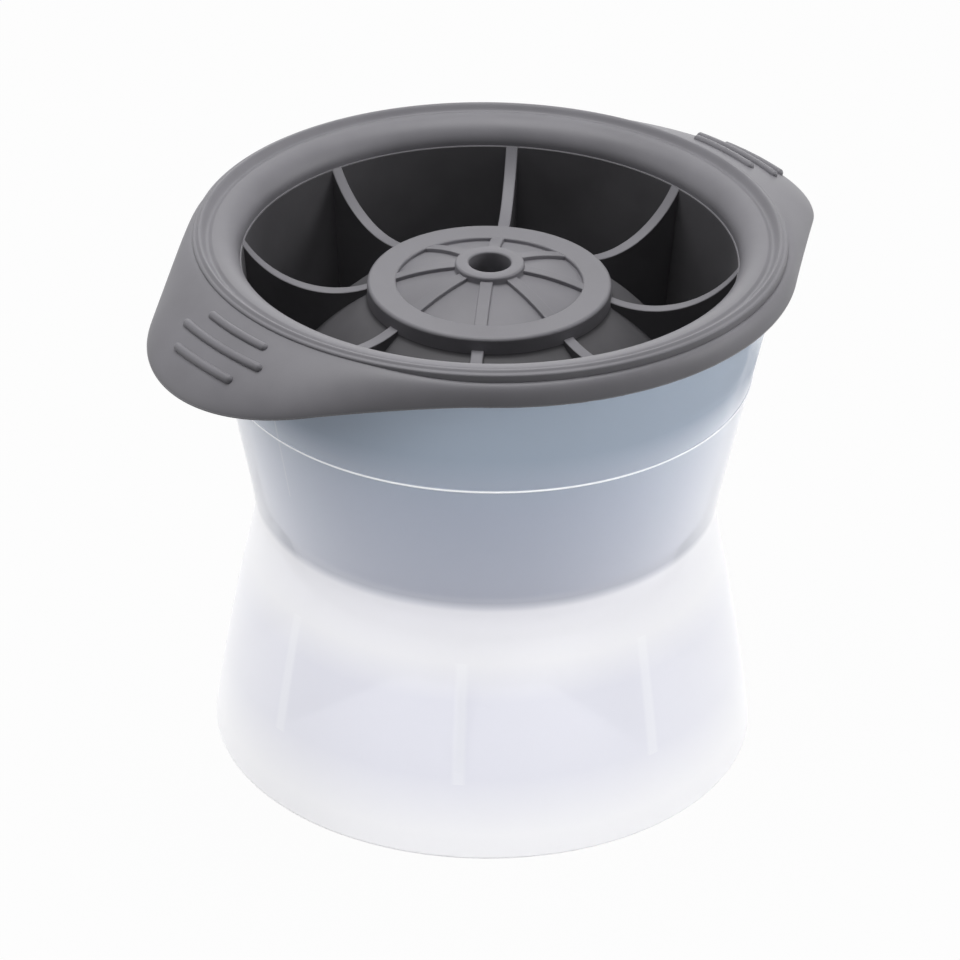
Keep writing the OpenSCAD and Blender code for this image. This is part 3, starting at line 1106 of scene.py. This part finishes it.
@dataclass(frozen=True)
class Studio:
    """White floor and surroundings, soft lamps, and the camera at the photograph's viewing angle."""

    back: float = 602.7337652 * MM
    height: float = 393.9703655 * MM
    pitch: float = 0.5295769715
    yaw: float = -0.0015537455
    roll: float = 0.0158518029
    focal_px: float = 4581.7039
    frame_px: float = 960.0
    sensor_mm: float = 36.0
    clip_start: float = 0.01
    turn: float = math.radians(-40.1)
    floor_half: float = 4.0
    floor_white: float = 0.97
    floor_grey: float = 0.5
    ambient: float = 0.02
    lamps: tuple[Lamp, ...] = (
        Lamp("top_softbox", (-0.04, 0.09, 0.92), 0.55, 5.7),
        Lamp("right_softbox", (0.90, 0.0, 0.32), 0.5, 2.6),
        Lamp("left_softbox", (-0.90, 0.0, 0.32), 0.5, 1.1),
        Lamp("back_softbox", (0.0, 0.90, 0.32), 0.5, 1.0),
        Lamp("stand_key", (0.576, -0.793, 0.15), 0.7, 10.8, stand_only=True),
        Lamp("stand_fill", (-0.656, -0.349, 0.67), 0.7, 9.0, stand_only=True),
        Lamp("stand_back", (0.25, 0.93, 0.25), 0.7, 7.0, stand_only=True),
    )

    def place_camera(self) -> None:
        """Places the camera as fitted to the photograph."""
        forward = Vector((math.sin(self.yaw) * math.cos(self.pitch),
                          math.cos(self.yaw) * math.cos(self.pitch), -math.sin(self.pitch)))
        level = Vector((math.cos(self.yaw), -math.sin(self.yaw), 0))
        upward = level.cross(forward)
        right = math.cos(self.roll) * level + math.sin(self.roll) * upward
        up = -math.sin(self.roll) * level + math.cos(self.roll) * upward
        pose = Matrix((right, up, -forward)).transposed().to_4x4()
        pose.translation = (0, -self.back, self.height)
        data = bpy.data.cameras.new("photo_camera")
        data.sensor_width = self.sensor_mm
        data.lens = self.sensor_mm * self.focal_px / self.frame_px
        data.clip_start = self.clip_start
        camera = bpy.data.objects.new("photo_camera", data)
        camera.matrix_world = Matrix.Rotation(self.turn, 4, "Z") @ pose
        bpy.context.scene.collection.objects.link(camera)
        bpy.context.scene.camera = camera

    def white_rays(self, tree: bpy.types.NodeTree) -> bpy.types.NodeSocket:
        """Adds a value that is 1 for the rays that should see plain white.

        Args:
            tree: The node tree that takes the nodes.

        Returns:
            The value's socket.
        """
        path = tree.nodes.new("ShaderNodeLightPath")
        total = path.outputs["Is Camera Ray"]
        for label in ("Is Glossy Ray", "Is Transmission Ray"):
            total = calc(tree, "MAXIMUM", total, path.outputs[label])
        return total

    def light_world(self) -> None:
        """Makes the surroundings white to the eye and gentle as a light."""
        world = bpy.data.worlds.new("white_surroundings")
        world.use_nodes = True
        tree = world.node_tree
        sky = tree.nodes["Background"]
        sky.inputs["Color"].default_value = (1, 1, 1, 1)
        strength = spread(tree, self.white_rays(tree), self.ambient, 1.0, 0.0, 1.0)
        tree.links.new(strength, sky.inputs["Strength"])
        bpy.context.scene.world = world

    def lay_floor(self) -> None:
        """Lays the pale floor, which keeps a faint shadow."""
        bm = bmesh.new()
        bmesh.ops.create_grid(bm, x_segments=1, y_segments=1, size=self.floor_half)
        mesh = bpy.data.meshes.new("floor")
        bm.to_mesh(mesh)
        bm.free()
        floor = bpy.data.objects.new("floor", mesh)
        bpy.context.scene.collection.objects.link(floor)
        material = bpy.data.materials.new("pale_floor")
        material.use_nodes = True
        tree = material.node_tree
        tree.nodes.remove(tree.nodes["Principled BSDF"])
        matte = tree.nodes.new("ShaderNodeBsdfDiffuse")
        matte.inputs["Color"].default_value = (self.floor_grey, self.floor_grey, self.floor_grey, 1)
        glow = tree.nodes.new("ShaderNodeEmission")
        mix = tree.nodes.new("ShaderNodeMixShader")
        share = spread(tree, self.white_rays(tree), 0.0, self.floor_white, 0.0, 1.0)
        tree.links.new(share, mix.inputs["Fac"])
        tree.links.new(matte.outputs["BSDF"], mix.inputs[1])
        tree.links.new(glow.outputs["Emission"], mix.inputs[2])
        tree.links.new(mix.outputs["Shader"], tree.nodes["Material Output"].inputs["Surface"])
        mesh.materials.append(material)

    def set_up(self, stand: list[bpy.types.Object]) -> None:
        """Sets up camera, floor, surroundings and lamps.

        Args:
            stand: The stand's pieces, for the lamps that light only them.
        """
        self.place_camera()
        self.lay_floor()
        self.light_world()
        turn = Matrix.Rotation(self.turn, 3, "Z")
        for lamp in self.lamps:
            lamp.hang(turn, stand)
        bpy.context.scene.view_settings.view_transform = "Standard"


def main() -> None:
    """Builds the stand, the lid and the studio, and reports each piece."""
    logging.basicConfig(level=logging.INFO)
    form = MouldForm()
    # The pockets' silicone is darker than the rest of the lid: painted shade in the deep pockets.
    pocket_painted_shade = SatinSilicone(name="pocket_painted_shade_silicone", dark=(0.112, 0.110, 0.117),
                                  light=(0.137, 0.134, 0.143), roughness=(0.4, 0.5), specular=0.2)
    plug_finish = SatinSilicone(name="plug_silicone", bump=0.01)
    # The lip's paler silicone is a painted highlight along the flange's thin edge.
    lip_painted_highlight = SatinSilicone(name="lip_painted_highlight_silicone", dark=(0.40, 0.395, 0.42), light=(0.46, 0.455, 0.48))
    stand = ClearStand(form, MilkyPlastic(form=form)).assemble()
    lid = SiliconeLid(form, SatinSilicone(), pocket_painted_shade, plug_finish, lip_painted_highlight).assemble()
    Studio().set_up(stand)
    for piece in stand + lid:
        LOG.info("%s: %d faces", piece.name, len(piece.data.polygons))


if __name__ == "__main__":
    main()
